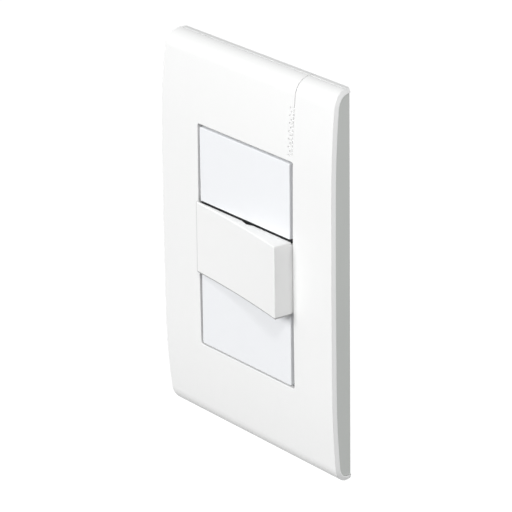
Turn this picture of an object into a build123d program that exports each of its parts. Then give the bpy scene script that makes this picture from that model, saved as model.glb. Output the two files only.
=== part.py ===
from build123d import *
from math import asin, cos, radians, sin
import os

# Slide dimmer on a vertical wall plate, in millimetres.
# The wall is the plane y = 0 and the front faces -Y.  +Z is up.
# The origin is the middle of the plate, on the wall.

# Shared by many functions: how far a cutting shape runs past the surface it
# cuts, and the tolerance used when edges are picked by their position.
CUT = 1.0
PICK = 0.1

# ---------------------------------------------------------------- wall plate
PLATE_HEIGHT = 115.7
PLATE_DEPTH = 8.06
PLATE_BACK_WIDTH = 77.1
PLATE_FRONT_WIDTH = 81.6
COVER_WALL = 1.4
CROWN_RADIUS = 3000.0
CROWN_HALF_HEIGHT = 30.0
SHOULDER_RADIUS = 220.0
END_ROLL = 5.4
COVER_BEVEL_DEPTH = 1.13
COVER_BEVEL_WIDTH = 0.65
END_LINE_Y = -1.6
END_LINE_WIDTH = 0.35
END_LINE_DEPTH = 0.2

OPENING_WIDTH = 45.0
OPENING_HEIGHT = 67.5
OPENING_CORNER = 0.7
OPENING_EDGE_ROUND = 0.25
SKIRT_WALL = 1.2
SKIRT_BACK = 3.6

SCALE_LINE_X = 22.3
SCALE_LINE_WIDTH = 0.34
SCALE_LINE_DEPTH = 0.3
SCALE_BOTTOM = 35.4
TICK_DEPTH = 0.32
TICK_HEIGHT = 0.45
TICK_PITCH = 1.12
TICK_COUNT = 13
TICK_LONG = 2.0
TICK_SHORT = 1.3

HOOK_X = 28.5
HOOK_Z = 20.0
HOOK_WIDTH = 5.0
HOOK_THICK = 1.2
HOOK_BARB = 0.5
HOOK_CATCH = 1.4
HOOK_LEDGE_CLEAR = 0.15
HOOK_END_CLEAR = 0.5
HOOK_BACK_CLEAR = 0.3
COVER_RIB_Z = 49.6
COVER_RIB_WALL = 1.0
COVER_RIB_HALF = 32.0

# ---------------------------------------------------------- grey side frame
SIDE_RECESS = 0.35
SIDE_BACK_ROUND = 0.2
FIT_GAP = 0.05
RAIL_INNER_X = 35.9
RING_THICK = 1.5
RING_WINDOW_X = 33.6
RING_WINDOW_Z = 47.2

# ------------------------------------------------------------ support frame
YOKE_HALF_X = 33.0
YOKE_HALF_Z = 46.5
YOKE_THICK = 2.0
YOKE_CORNER = 3.0
YOKE_WINDOW_X = 23.2
YOKE_WINDOW_Z = 34.4
YOKE_RIB_HEIGHT = 1.3
YOKE_RIB_WALL = 1.2
YOKE_RIB_X = 24.2
YOKE_RIB_HALF = 30.0
YOKE_HOLE_RADIUS = 1.9
YOKE_HOLE_Z = 39.0
BOX_SCREW_SPACING = 83.5
BOX_SCREW_RADIUS = 1.75
BOX_SCREW_NECK_RADIUS = 1.5
BOX_SCREW_HEAD_RADIUS = 3.25
BOX_SCREW_HEAD_HEIGHT = 2.0
BOX_SCREW_HEAD_ROUND = 0.8
BOX_SCREW_TIP = 21.0
BOX_SCREW_TIP_CHAMFER = 0.7
BOX_RECESS_HALF_LENGTH = 2.2
BOX_RECESS_HALF_WIDTH = 0.4
BOX_RECESS_DEPTH = 1.1
BOX_SLOT_WIDTH = 3.9
BOX_SLOT_LENGTH = 8.0

# --------------------------------------------------------------- face panel
PANEL_FRONT = 8.1
PANEL_THICK = 2.2
PANEL_HALF_X = 21.3
PANEL_HALF_Z = 33.1
PANEL_ROUND = 0.3
PANEL_CORNER = 0.5
PANEL_BACK = PANEL_FRONT - PANEL_THICK
GROOVE_Z = 10.1
GROOVE_WIDTH = 1.65
GROOVE_DEPTH = 0.45
PANEL_PIN_X = 13.5
PANEL_PIN_Z = 31.2
PANEL_PIN_RADIUS = 0.8
PANEL_PIN_LENGTH = 2.7
PANEL_PIN_ROOT = 0.5
PANEL_PIN_END_CLEAR = 0.3

# --------------------------------------------------------------- slide knob
KNOB_HALF_WIDTH = 22.3
KNOB_TOP = 10.4
KNOB_BOTTOM = -11.4
KNOB_CENTRE = (KNOB_TOP + KNOB_BOTTOM) / 2
KNOB_REAR = 8.4
KNOB_LEFT_DEPTH = 8.95
KNOB_RIGHT_DEPTH = 14.4
KNOB_HOLLOW = 0.65
KNOB_WALL = 1.5
KNOB_EDGE_ROUND = 0.35
KNOB_CORNER_ROUND = 0.3
KNOB_LOWER_BEVEL = 0.4
KNOB_CAVITY_LEFT = -4.0
KNOB_CAVITY_RIGHT = 20.6
NOTCH_LEFT = -0.9
NOTCH_MIDDLE = 2.3
NOTCH_RIGHT = 4.8
NOTCH_DEPTH = 0.75
LEG_THICK = 0.8
LEG_HALF_HEIGHT = 10.2
LEG_TIP = 1.45
LEG_BARB = 0.8
LEG_BARB_TOP = 2.35
LEG_BARB_INSET = 2.0
LEG_ROOT = 0.4

# ----------------------------------------------------------------- carriage
CARRIAGE_HALF_X = 21.45
CARRIAGE_HALF_Z = 6.0
CARRIAGE_BACK = 2.4
CARRIAGE_FRONT = 4.9
CARRIAGE_CORNER = 0.8
PAD_BACK = 1.15
PAD_INNER_X = 14.6
PAD_OUTER_X = 19.8
RAIL_X = 12.0
RAIL_WIDTH = 1.6
RAIL_TOP = 2.9
RAIL_HALF_LENGTH = 29.0
RAIL_CLEAR = 0.25
FORK_HALF_X = 0.8
FORK_HALF_Z = 2.2
SPRING_THICK = 0.25
SPRING_HALF_X = 9.0
SPRING_HALF_Z = 1.6
SPRING_RISE = 0.6
SPRING_FOOT = 1.6
SPRING_Z = 3.6

# ------------------------------------------------------------------ housing
HOUSING_PLATE_FRONT = 0.9
HOUSING_PLATE_BACK = -0.9
HOUSING_PLATE_X = 22.9
HOUSING_PLATE_Z = 34.1
HOUSING_PLATE_CORNER = 0.8
LEVER_SLOT_HALF_X = 1.3
LEVER_SLOT_HALF_Z = 25.2
POST_RADIUS = 2.0
LUG_HALF_X = 9.0
LUG_INNER_Z = 32.7
LUG_OUTER_Z = 37.2
LUG_THICK = 1.2
SHELL_HALF_X = 22.4
SHELL_HALF_Z = 33.4
SHELL_DEPTH = 22.0
SHELL_STEP_DEPTH = 11.6
SHELL_STEP_X = 8.0
SHELL_WALL = 1.5
SHELL_CORNER = 2.0
SHELL_BACK_ROUND = 0.8
BOSS_X = 19.3
BOSS_Z = 30.3
BOSS_RADIUS = 2.6
BOSS_SPLIT = 6.0
BOSS_BACK = 10.4
BOSS_CLEAR = 0.1
HOUSING_SCREW_RADIUS = 1.1
HOUSING_SCREW_HEAD_RADIUS = 2.0
HOUSING_SCREW_HEAD_HEIGHT = 1.5
HOUSING_SCREW_SEAT = 0.7
HOUSING_SCREW_HEAD_ROUND = 0.5
HOUSING_SCREW_TIP = 9.9
HOUSING_SCREW_TIP_CHAMFER = 0.5
HOUSING_RECESS_HALF_LENGTH = 1.3
HOUSING_RECESS_HALF_WIDTH = 0.3
HOUSING_RECESS_DEPTH = 0.9
PILOT_CLEAR = 0.02
PASS_CLEAR = 0.15
COUNTERBORE_RADIUS = 2.3
SNAP_Z = 18.0
SNAP_WIDTH = 6.0
SNAP_LENGTH = 4.0
SNAP_RISE = 1.6
VENT_COUNT = 6
VENT_PITCH = 3.6
VENT_WIDTH = 1.5
VENT_LENGTH = 18.0
VENT_X = -7.4
VENT_Z = 15.0
SIDE_VENT_COUNT = 5
SIDE_VENT_PITCH = 4.0
SIDE_VENT_Z = 8.0
SIDE_VENT_LENGTH = 7.0
SIDE_VENT_Y = 16.6
LEDGE_WIDTH = 1.2
LEDGE_THICK = 1.2
LEDGE_ROOT = 0.5
LEDGE_HALF_Z = 22.0

# ------------------------------------------------------------ circuit board
BOARD_FRONT = 8.4
BOARD_THICK = 1.6
BOARD_BACK = BOARD_FRONT + BOARD_THICK
BOARD_HALF_X = 20.3
BOARD_HALF_Z = 31.2
BOARD_NOTCH = 4.6

# ------------------------------------------------------- slide potentiometer
POT_HALF_X = 4.5
POT_HALF_Z = 30.0
POT_FRONT = 2.2
POT_SHEET = 0.5
POT_FOLD_ROUND = 0.4
POT_SLOT_HALF_X = 1.1
TRACK_THICK = 1.6
TRACK_FRONT = BOARD_FRONT - TRACK_THICK
TRACK_GAP = 0.1
CARBON_HEIGHT = 0.06
CARBON_X = 1.9
CARBON_WIDTH = 1.4
CARBON_HALF_Z = 26.0
SLIDER_HALF_X = 3.2
SLIDER_HALF_Z = 4.6
SLIDER_FRONT = 3.0
SLIDER_BACK = 5.7
SLIDER_ROUND = 0.4
LEVER_SEAT = 2.0
LEVER_HALF_X = 0.6
LEVER_HALF_Z = 2.0
LEVER_TIP = 4.5
LEVER_CHAMFER = 0.5
BRUSH_THICK = 0.2
BRUSH_WIDTH = 0.9
BRUSH_HANG = 3.4
BRUSH_REACH = 3.0
BRUSH_CLEAR = 0.1

# ---------------------------------------------------------- terminal block
TERMINAL_PITCH = 8.5
TERMINAL_COUNT = 3
TERMINAL_X = -6.9
TERMINAL_HALF_X = 12.7
TERMINAL_TOP = -20.8
TERMINAL_BOTTOM = -31.7
TERMINAL_FRONT = 10.6
TERMINAL_CORNER = 0.5
TERMINAL_WINDOW_CLEAR = 0.2
DIVIDER_HALF_WIDTH = 0.5
DIVIDER_DEPTH = 1.2
WIRE_Z = -25.5
WIRE_RADIUS = 1.75
CLAMP_FRONT = 11.3
CLAMP_BACK = 17.0
CLAMP_HALF_X = 3.4
CLAMP_TOP = -21.8
CLAMP_BOTTOM = -29.4
CLAMP_BORE = 2.0
CLAMP_CORNER = 0.4
CLAMP_THREAD_CLEAR = 0.03
CLAMP_SCREW_RADIUS = 1.45
CLAMP_SCREW_HEAD_RADIUS = 2.3
CLAMP_SCREW_HEAD_HEIGHT = 1.7
CLAMP_SCREW_Y = 14.1
CLAMP_SCREW_HEAD_CHAMFER = 0.3
CLAMP_SCREW_SEAT = 0.2
CLAMP_SCREW_SLOT_HALF = 0.4
CLAMP_SCREW_SLOT_DEPTH = 0.9
SCREW_ACCESS_RADIUS = 2.6

# --------------------------------------------------------- power components
SINK_LEFT = -20.6
SINK_THICK = 1.5
SINK_FRONT = 10.6
SINK_BACK = 20.0
SINK_BOTTOM = -14.0
SINK_TOP = 24.0
SINK_FLANGE = 9.0
TRIAC_BODY_HEIGHT = 4.5
TRIAC_WIDTH = 10.0
TRIAC_BODY_LENGTH = 9.0
TRIAC_TAB_LENGTH = 6.4
TRIAC_TAB_THICK = 1.3
TRIAC_CENTRE_Y = 15.3
TRIAC_BODY_BOTTOM = -1.0
TRIAC_LEAD = 0.8
TRIAC_LEAD_PITCH = 2.54
TRIAC_LEAD_DROP = 4.0
TRIAC_LEAD_STAGGER = 2.0
TRIAC_TAB_CLEAR = 0.1
TRIAC_SCREW_RADIUS = 1.5
TRIAC_SCREW_HEAD_RADIUS = 2.75
TRIAC_SCREW_HEAD_HEIGHT = 2.0
TRIAC_SCREW_HEAD_ROUND = 0.6

CHOKE_X = -4.5
CHOKE_Z = 14.6
CHOKE_Y = 15.0
CORE_OUTER = 8.0
CORE_INNER = 4.4
CORE_HEIGHT = 7.0
CORE_ROUND = 0.5
WIRE_TURN_RADIUS = 0.45
WIRE_TURN_BEND = 0.9
WINDING_TURNS = 18
WINDING_SPAN = 300.0

FILTER_CAP_X = (-1.2, 6.0)
FILTER_CAP_Y = (10.6, 20.0)
FILTER_CAP_Z = (-18.4, -0.6)
FILTER_CAP_ROUND = 0.8
TIMING_CAP_X = (-14.8, -7.6)
TIMING_CAP_Y = (10.6, 17.0)
TIMING_CAP_Z = (-19.6, -16.8)
TIMING_CAP_ROUND = 0.6
LEAD_RADIUS = 0.3
CAP_LEAD_INSET = 1.2
LEAD_ROOT = 1.0

AXIAL_Y = 12.1
AXIAL_END_ROUND = 0.35
RESISTOR_X = (-12.2, -9.2)
RESISTOR_Z = -10.5
RESISTOR_RADIUS = 1.25
RESISTOR_LENGTH = 6.3
RESISTOR_SPAN = 10.2
DIAC_X = -9.2
DIAC_Z = 0.0
DIAC_RADIUS = 0.9
DIAC_LENGTH = 3.8
DIAC_SPAN = 7.6

FUSE_X = -4.3
FUSE_Y = 14.2
FUSE_Z = -8.8
FUSE_LENGTH = 20.0
FUSE_CAP_RADIUS = 2.6
FUSE_GLASS_RADIUS = 2.2
FUSE_CAP_LENGTH = 5.0
FUSE_GLASS_SEAT = 1.0
CLIP_WIDTH = 4.0
CLIP_SHEET = 0.35
CLIP_OFFSET = 7.4
CLIP_MOUTH_HALF = 2.0
CLIP_FOOT_HALF = 1.0

# -------------------------------------------------- minimum-level trimmer
TRIMMER_X = 2.9
TRIMMER_Z = 27.6
TRIMMER_HALF = 3.3
TRIMMER_BACK = 15.8
TRIMMER_STEM_RADIUS = 1.5
TRIMMER_HEAD_RADIUS = 2.4
TRIMMER_HEAD_FRONT = 20.2
TRIMMER_HEAD_BACK = 21.7
TRIMMER_HOLE_RADIUS = 2.8
TRIMMER_SEAT_RADIUS = 1.8
TRIMMER_SEAT_DEPTH = 2.0
TRIMMER_STEM_DEPTH = 1.7
TRIMMER_CORNER = 0.4
DIAL_HEAD_CHAMFER = 0.25
DIAL_SLOT_HALF_LENGTH = 1.8
DIAL_POINTER_LEFT = 1.4
DIAL_POINTER_RIGHT = 3.0
DIAL_SLOT_WIDTH = 0.8
DIAL_SLOT_DEPTH = 0.7
DIAL_POINTER = 0.6


def block(x0, x1, y0, y1, z0, z1):
    """Box between two corners."""
    centre = Pos((x0 + x1) / 2, (y0 + y1) / 2, (z0 + z1) / 2)
    return centre * Box(abs(x1 - x0), abs(y1 - y0), abs(z1 - z0))


def rod_y(radius, x, z, y0, y1):
    """Cylinder along Y from y0 to y1."""
    return Pos(x, (y0 + y1) / 2, z) * Rot(90, 0, 0) * Cylinder(radius, abs(y1 - y0))


def rod_z(radius, x, y, z0, z1):
    """Cylinder along Z from z0 to z1."""
    return Pos(x, y, (z0 + z1) / 2) * Cylinder(radius, abs(z1 - z0))


def rod_x(radius, y, z, x0, x1):
    """Cylinder along X from x0 to x1."""
    return Pos((x0 + x1) / 2, y, z) * Rot(0, 90, 0) * Cylinder(radius, abs(x1 - x0))


def half_width(depth):
    """Half the plate's width at a depth in front of the wall: the sides flare forwards."""
    flare = (PLATE_FRONT_WIDTH - PLATE_BACK_WIDTH) / 2
    return PLATE_BACK_WIDTH / 2 + flare * depth / PLATE_DEPTH


def arch_face(inset):
    """Arched section of the plate in the YZ plane, shrunk inwards by inset."""
    half = PLATE_HEIGHT / 2 - inset
    crown_y = CROWN_RADIUS - PLATE_DEPTH
    crown_angle = asin(CROWN_HALF_HEIGHT / CROWN_RADIUS)
    crown_r = CROWN_RADIUS - inset
    shoulder_y = crown_y - (CROWN_RADIUS - SHOULDER_RADIUS) * cos(crown_angle)
    shoulder_z = (CROWN_RADIUS - SHOULDER_RADIUS) * sin(crown_angle)
    shoulder_r = SHOULDER_RADIUS - inset
    end_angle = asin((half - shoulder_z) / shoulder_r)
    mid_angle = (crown_angle + end_angle) / 2

    def shoulder_point(angle, side):
        return (shoulder_y - shoulder_r * cos(angle), side * (shoulder_z + shoulder_r * sin(angle)))

    top_end = shoulder_point(end_angle, 1)
    bottom_end = shoulder_point(end_angle, -1)
    top_joint = (crown_y - crown_r * cos(crown_angle), crown_r * sin(crown_angle))
    bottom_joint = (top_joint[0], -top_joint[1])
    outline = [
        Line((0, -half), bottom_end),
        ThreePointArc(bottom_end, shoulder_point(mid_angle, -1), bottom_joint),
        ThreePointArc(bottom_joint, (inset - PLATE_DEPTH, 0), top_joint),
        ThreePointArc(top_joint, shoulder_point(mid_angle, 1), top_end),
        Line(top_end, (0, half)),
        Line((0, half), (0, -half)),
    ]
    face = make_face(outline)
    corners = [v for v in face.vertices() if abs(abs(v.Y) - half) < 0.01 and v.X < -1]
    return fillet(corners, END_ROLL - inset)


def arch_solid(inset, x0, x1):
    """The arched section, shrunk by inset, between two stations across the plate."""
    face = Plane.YZ * arch_face(inset)
    return Pos(x0, 0, 0) * extrude(face, amount=x1 - x0)


def side_limits(recess):
    """Prism that trims the plate to its flared sides, set in by recess."""
    reach = 2 * PLATE_DEPTH
    near = half_width(-reach) - recess
    far = half_width(reach) - recess
    outline = Polyline((-near, reach), (near, reach), (far, -reach), (-far, -reach), close=True)
    return extrude(make_face(outline), amount=PLATE_HEIGHT, both=True)


def opening_prism(grow, y0, y1):
    """Prism of the plate's opening, grown all round."""
    outline = RectangleRounded(
        OPENING_WIDTH + 2 * grow, OPENING_HEIGHT + 2 * grow, OPENING_CORNER + max(grow, 0)
    )
    return Pos(0, y1, 0) * extrude(Plane.XZ * outline, amount=y1 - y0)


def end_lines():
    """Shallow shadow line across both rolled ends, just in front of the wall."""
    reach = PLATE_FRONT_WIDTH
    skin = arch_solid(-CUT, -reach, reach) - arch_solid(END_LINE_DEPTH, -reach, reach)
    half = END_LINE_WIDTH / 2
    return skin & block(-reach, reach, END_LINE_Y - half, END_LINE_Y + half, -reach, reach)


def scale_marks():
    """Engraved level line with a row of plain ticks, over the upper right of the plate."""
    half_line = SCALE_LINE_WIDTH / 2
    line_left = SCALE_LINE_X - half_line
    line_right = SCALE_LINE_X + half_line
    line = arch_solid(-CUT, line_left, line_right)
    line -= arch_solid(SCALE_LINE_DEPTH, line_left, line_right)
    line &= block(line_left, line_right, -2 * PLATE_DEPTH, -FIT_GAP, SCALE_BOTTOM, PLATE_HEIGHT)
    left = SCALE_LINE_X - TICK_LONG
    band = arch_solid(-CUT, left, SCALE_LINE_X) - arch_solid(TICK_DEPTH, left, SCALE_LINE_X)
    marks = line
    for index in range(TICK_COUNT):
        length = TICK_LONG if index % 2 == 0 else TICK_SHORT
        z = SCALE_BOTTOM + TICK_PITCH * index
        window = block(
            SCALE_LINE_X - length, SCALE_LINE_X, -2 * PLATE_DEPTH, -TICK_DEPTH, z, z + TICK_HEIGHT
        )
        marks += band & window
    return marks


def cover_hook(x_side, z):
    """Snap hook that holds the cover on the support frame."""
    inner = HOOK_X - HOOK_THICK / 2
    outer = HOOK_X + HOOK_THICK / 2
    half = HOOK_WIDTH / 2
    stem = block(inner, outer, COVER_WALL / 2 - PLATE_DEPTH, -FIT_GAP, z - half, z + half)
    barb_outline = Polyline(
        (outer, -HOOK_CATCH), (outer + HOOK_BARB, -HOOK_CATCH), (outer, -FIT_GAP), close=True
    )
    barb = Pos(0, 0, z - half) * extrude(make_face(barb_outline), amount=HOOK_WIDTH)
    hook = stem + barb
    return hook if x_side > 0 else mirror(hook, Plane.YZ)


def cover_plate():
    """Arched white cover with the module opening, its skirt, hooks and stiffening ribs."""
    reach = PLATE_FRONT_WIDTH / 2 + CUT
    outer = arch_solid(0, -reach, reach) & side_limits(0)
    for side in (-1, 1):
        side_face = outer.faces().sort_by(Axis.X)[side if side < 0 else 0]
        rim = [e for e in side_face.edges() if e.center().Y < -2 * PICK]
        outer = chamfer(rim, COVER_BEVEL_DEPTH, COVER_BEVEL_WIDTH, reference=side_face)
    outer -= opening_prism(0, -2 * PLATE_DEPTH, PLATE_DEPTH)
    front_edges = [
        e for e in outer.edges()
        if e.center().Y < COVER_WALL / 2 - PLATE_DEPTH
        and abs(e.center().X) < OPENING_WIDTH / 2 + PICK
        and abs(e.center().Z) < OPENING_HEIGHT / 2 + PICK
    ]
    outer = fillet(front_edges, OPENING_EDGE_ROUND)
    cover = outer - arch_solid(COVER_WALL, -reach, reach)
    skirt = opening_prism(SKIRT_WALL, COVER_WALL / 2 - PLATE_DEPTH, -SKIRT_BACK)
    skirt -= opening_prism(0, -2 * PLATE_DEPTH, PLATE_DEPTH)
    cover += skirt
    for z_side in (-1, 1):
        rib_z = z_side * COVER_RIB_Z
        rib = block(
            -COVER_RIB_HALF, COVER_RIB_HALF, 2 * COVER_WALL - PLATE_DEPTH, -RING_THICK - FIT_GAP,
            rib_z - COVER_RIB_WALL / 2, rib_z + COVER_RIB_WALL / 2,
        )
        rib += block(
            -COVER_RIB_HALF, COVER_RIB_HALF, -PLATE_DEPTH, 2 * COVER_WALL - PLATE_DEPTH,
            rib_z - COVER_RIB_WALL / 2, rib_z + COVER_RIB_WALL / 2,
        ) & arch_solid(COVER_WALL / 2, -COVER_RIB_HALF, COVER_RIB_HALF)
        cover += rib
        for x_side in (-1, 1):
            cover += cover_hook(x_side, z_side * HOOK_Z)
    return cover - scale_marks() - end_lines()


def side_frame():
    """Grey frame under the cover: arched side rails on a flat ring that lies on the wall."""
    reach = PLATE_FRONT_WIDTH
    limits = side_limits(SIDE_RECESS)
    inner_arch = arch_solid(COVER_WALL + FIT_GAP, -reach, reach) & limits
    rails = inner_arch - block(-RAIL_INNER_X, RAIL_INNER_X, -reach, reach, -reach, reach)
    ring = inner_arch & block(-reach, reach, -RING_THICK, 0, -reach, reach)
    ring -= block(-RING_WINDOW_X, RING_WINDOW_X, -reach, reach, -RING_WINDOW_Z, RING_WINDOW_Z)
    frame = rails + ring
    back_edges = [
        e for e in frame.edges()
        if abs(e.center().Y) < PICK and abs(e.center().X) > PLATE_BACK_WIDTH / 2 - SIDE_RECESS - PICK
    ]
    return fillet(back_edges, SIDE_BACK_ROUND)


def support_frame():
    """Moulded frame screwed to the wall box: it carries the dimmer and the cover."""
    frame = block(-YOKE_HALF_X, YOKE_HALF_X, -YOKE_THICK, 0, -YOKE_HALF_Z, YOKE_HALF_Z)
    frame = fillet(frame.edges().filter_by(Axis.Y), YOKE_CORNER)
    frame -= block(
        -YOKE_WINDOW_X, YOKE_WINDOW_X, -2 * YOKE_THICK, YOKE_THICK, -YOKE_WINDOW_Z, YOKE_WINDOW_Z
    )
    for side in (-1, 1):
        rib_outer = YOKE_RIB_X + YOKE_RIB_WALL
        frame += block(
            side * YOKE_RIB_X, side * rib_outer, -YOKE_THICK - YOKE_RIB_HEIGHT, -YOKE_THICK,
            -YOKE_RIB_HALF, YOKE_RIB_HALF,
        )
        frame += block(
            side * (YOKE_HALF_X - YOKE_RIB_WALL), side * YOKE_HALF_X,
            -YOKE_THICK - YOKE_RIB_HEIGHT, -YOKE_THICK,
            YOKE_CORNER - YOKE_HALF_Z, YOKE_HALF_Z - YOKE_CORNER,
        )
        slot = SlotOverall(BOX_SLOT_LENGTH, BOX_SLOT_WIDTH)
        slot_z = side * BOX_SCREW_SPACING / 2
        frame -= Pos(0, 0, slot_z) * extrude(Plane.XZ * slot, amount=2 * YOKE_THICK, both=True)
        for z_side in (-1, 1):
            hook_z = z_side * HOOK_Z
            slot_half = HOOK_WIDTH / 2 + HOOK_END_CLEAR
            stem_edge = HOOK_X + HOOK_THICK / 2
            frame -= block(
                side * (HOOK_X - HOOK_THICK), side * (stem_edge + HOOK_LEDGE_CLEAR),
                -2 * YOKE_THICK, YOKE_THICK, hook_z - slot_half, hook_z + slot_half,
            )
            frame -= block(
                side * HOOK_X, side * (stem_edge + HOOK_BARB + HOOK_BACK_CLEAR),
                -HOOK_CATCH - FIT_GAP, YOKE_THICK, hook_z - slot_half, hook_z + slot_half,
            )
            frame -= rod_y(
                YOKE_HOLE_RADIUS, side * HOOK_X, z_side * YOKE_HOLE_Z, -2 * YOKE_THICK, YOKE_THICK
            )
    return frame


def box_screws():
    """Two pan-head screws that pull the support frame onto the wall box."""
    screws = []
    for side in (-1, 1):
        z = side * BOX_SCREW_SPACING / 2
        head_front = -YOKE_THICK - BOX_SCREW_HEAD_HEIGHT
        head = rod_y(BOX_SCREW_HEAD_RADIUS, 0, z, head_front, -YOKE_THICK)
        head = fillet(head.edges().group_by(Axis.Y)[0], BOX_SCREW_HEAD_ROUND)
        recess_back = head_front + BOX_RECESS_DEPTH
        for half_x, half_z in (
            (BOX_RECESS_HALF_LENGTH, BOX_RECESS_HALF_WIDTH),
            (BOX_RECESS_HALF_WIDTH, BOX_RECESS_HALF_LENGTH),
        ):
            head -= block(-half_x, half_x, head_front - CUT, recess_back, z - half_z, z + half_z)
        neck = rod_y(BOX_SCREW_NECK_RADIUS, 0, z, -YOKE_THICK, 0)
        shank = rod_y(BOX_SCREW_RADIUS, 0, z, -FIT_GAP, BOX_SCREW_TIP)
        shank = chamfer(shank.edges().group_by(Axis.Y)[-1], BOX_SCREW_TIP_CHAMFER)
        screws.append(head + neck + shank)
    return Compound(children=screws)


def face_panel():
    """Flat panel behind the knob, grooved at its module lines, with four locating pins."""
    panel = block(-PANEL_HALF_X, PANEL_HALF_X, -PANEL_FRONT, -PANEL_BACK, -PANEL_HALF_Z, PANEL_HALF_Z)
    panel = fillet(panel.edges().filter_by(Axis.Y), PANEL_CORNER)
    panel = fillet(panel.faces().sort_by(Axis.Y)[0].edges(), PANEL_ROUND)
    for side in (-1, 1):
        groove_z = side * GROOVE_Z
        panel -= block(
            -OPENING_WIDTH, OPENING_WIDTH, -PANEL_FRONT - CUT, GROOVE_DEPTH - PANEL_FRONT,
            groove_z - GROOVE_WIDTH / 2, groove_z + GROOVE_WIDTH / 2,
        )
        for x in (-PANEL_PIN_X, PANEL_PIN_X):
            panel += rod_y(
                PANEL_PIN_RADIUS, x, side * PANEL_PIN_Z,
                -PANEL_BACK - PANEL_PIN_ROOT, PANEL_PIN_LENGTH - PANEL_BACK,
            )
    return panel


def knob_section(offset, x0, x1):
    """Plan of the wedge between x0 and x1: flat behind, dished in front, set back by offset."""
    def front(x):
        share = (x + KNOB_HALF_WIDTH) / (2 * KNOB_HALF_WIDTH)
        chord = KNOB_LEFT_DEPTH + (KNOB_RIGHT_DEPTH - KNOB_LEFT_DEPTH) * share
        dish = KNOB_HOLLOW * (1 - (x / KNOB_HALF_WIDTH) ** 2)
        return offset - chord + dish

    outline = [
        Line((x0, -KNOB_REAR), (x1, -KNOB_REAR)),
        Line((x1, -KNOB_REAR), (x1, front(x1))),
        ThreePointArc((x1, front(x1)), ((x0 + x1) / 2, front((x0 + x1) / 2)), (x0, front(x0))),
        Line((x0, front(x0)), (x0, -KNOB_REAR)),
    ]
    return make_face(outline)


def slide_knob():
    """Hollow wedge-shaped knob with a finger dish, a pry notch and two side legs."""
    height = KNOB_TOP - KNOB_BOTTOM
    outer_face = knob_section(0, -KNOB_HALF_WIDTH, KNOB_HALF_WIDTH)
    knob = Pos(0, 0, KNOB_BOTTOM) * extrude(outer_face, amount=height)
    lower_rim = [
        e for e in knob.faces().sort_by(Axis.Z)[0].edges()
        if e.center().Y < -KNOB_REAR - PICK and e.center().X > PICK - KNOB_HALF_WIDTH
    ]
    knob = chamfer(lower_rim, KNOB_LOWER_BEVEL)
    thick_edge = knob.edges().filter_by(Axis.Z).sort_by(Axis.Y)[0]
    knob = fillet(thick_edge, KNOB_CORNER_ROUND)
    upper_rim = knob.edges().filter_by(GeomType.CIRCLE).group_by(Axis.Z)[-1]
    knob = fillet(upper_rim, KNOB_EDGE_ROUND)
    cavity_face = knob_section(KNOB_WALL, KNOB_CAVITY_LEFT, KNOB_CAVITY_RIGHT)
    cavity_height = height - 2 * KNOB_WALL
    knob -= Pos(0, 0, KNOB_BOTTOM + KNOB_WALL) * extrude(cavity_face, amount=cavity_height)
    notch_outline = Polyline(
        (NOTCH_LEFT, CUT - KNOB_REAR), (NOTCH_LEFT, -KNOB_REAR), (NOTCH_MIDDLE, -KNOB_REAR - NOTCH_DEPTH),
        (NOTCH_RIGHT, -KNOB_REAR), (NOTCH_RIGHT, CUT - KNOB_REAR), close=True,
    )
    notch = extrude(make_face(notch_outline), amount=2 * KNOB_WALL + CUT)
    knob -= Pos(0, 0, KNOB_TOP - 2 * KNOB_WALL) * notch
    for side in (-1, 1):
        outer = side * KNOB_HALF_WIDTH
        inner = side * (KNOB_HALF_WIDTH - LEG_THICK)
        tooth = side * (KNOB_HALF_WIDTH - LEG_THICK - LEG_BARB)
        leg_bottom = KNOB_CENTRE - LEG_HALF_HEIGHT
        leg_top = KNOB_CENTRE + LEG_HALF_HEIGHT
        knob += block(inner, outer, -KNOB_REAR - LEG_ROOT, -LEG_TIP, leg_bottom, leg_top)
        knob += block(
            tooth, outer, -LEG_BARB_TOP, -LEG_TIP, leg_bottom + LEG_BARB_INSET, leg_top - LEG_BARB_INSET
        )
    return knob


def carriage():
    """Carrier behind the face panel: it joins the knob's legs to the potentiometer lever."""
    bottom = KNOB_CENTRE - CARRIAGE_HALF_Z
    top = KNOB_CENTRE + CARRIAGE_HALF_Z
    body = block(-CARRIAGE_HALF_X, CARRIAGE_HALF_X, -CARRIAGE_FRONT, -CARRIAGE_BACK, bottom, top)
    body = fillet(body.edges().filter_by(Axis.Y), CARRIAGE_CORNER)
    for side in (-1, 1):
        body += block(side * PAD_INNER_X, side * PAD_OUTER_X, -CARRIAGE_BACK, -PAD_BACK, bottom, top)
        rail_reach = RAIL_WIDTH / 2 + RAIL_CLEAR
        body -= block(
            side * (RAIL_X - rail_reach), side * (RAIL_X + rail_reach), -RAIL_TOP - RAIL_CLEAR, 0,
            bottom - CUT, top + CUT,
        )
    return body - block(
        -FORK_HALF_X, FORK_HALF_X, -2 * CARRIAGE_FRONT, 0,
        KNOB_CENTRE - FORK_HALF_Z, KNOB_CENTRE + FORK_HALF_Z,
    )


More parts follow.
